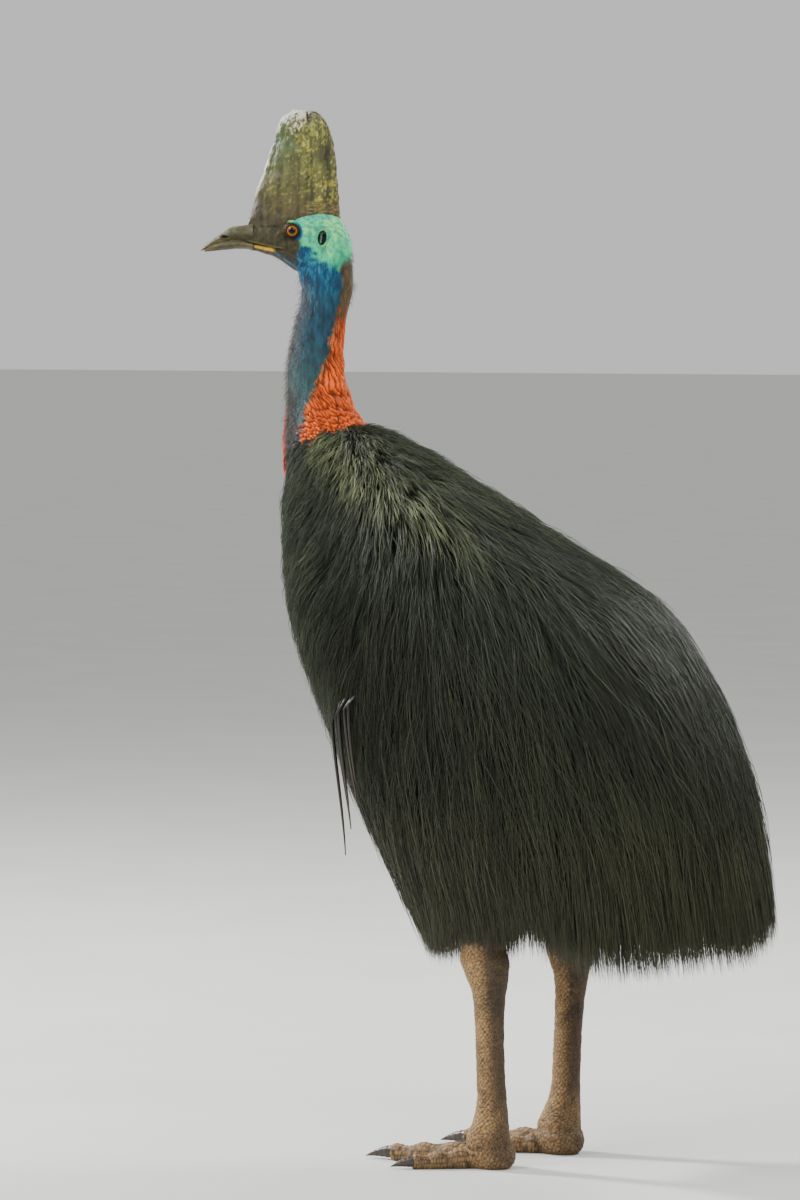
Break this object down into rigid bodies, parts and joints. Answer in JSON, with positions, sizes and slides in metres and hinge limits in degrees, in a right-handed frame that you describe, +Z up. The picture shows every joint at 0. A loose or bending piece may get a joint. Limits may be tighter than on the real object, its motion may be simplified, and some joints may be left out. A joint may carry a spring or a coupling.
{
  "type": "southern cassowary, still museum model",
  "caption": "Life-size standing cassowary with tall horn casque, bare blue and orange neck, hanging plumage and clawed feet.",
  "frame": {"origin": "on the floor under the middle of the bird's bounding box", "axes": "+Z up, the body faces -X, its left side is towards -Y; the head is turned 28 degrees to the bird's left"},
  "size_m": [0.897, 0.4368, 1.533],
  "materials": {
    "head_skin": "fine wrinkled skin, turquoise at the rear and dark round the eye",
    "casque_horn": "worn horn, streaked olive brown",
    "bill_horn": "smooth grey-brown horn",
    "eye": "wet amber iris with black pupil",
    "neck_blue": "bristled blue skin",
    "neck_orange": "lumpy orange-red caruncled skin on the hind neck, blue in front",
    "plumage": "coarse hair-like black plumes with an olive sheen",
    "leg_scales": "raised tan scutes and dark rough scales",
    "claw_horn": "worn dark horn",
    "wattle": "soft red folded skin"
  },
  "bodies": {
    "root": {"head": "head_skin", "casque": "casque_horn", "bill_upper": "bill_horn", "bill_lower": "bill_horn", "eye_left": "eye", "eye_right": "eye", "wing_left": "plumage", "wing_right": "plumage", "neck_upper": "neck_blue", "neck_lower": "neck_orange", "torso": "plumage", "rump": "plumage", "thigh_left": "plumage", "shank_left": "leg_scales", "toe_inner_left": "leg_scales", "claw_inner_left": "claw_horn", "toe_middle_left": "leg_scales", "claw_middle_left": "claw_horn", "toe_outer_left": "leg_scales", "claw_outer_left": "claw_horn", "wattle_left": "wattle", "thigh_right": "plumage", "shank_right": "leg_scales", "toe_inner_right": "leg_scales", "claw_inner_right": "claw_horn", "toe_middle_right": "leg_scales", "claw_middle_right": "claw_horn", "toe_outer_right": "leg_scales", "claw_outer_right": "claw_horn", "wattle_right": "wattle"}
  },
  "joints": []
}
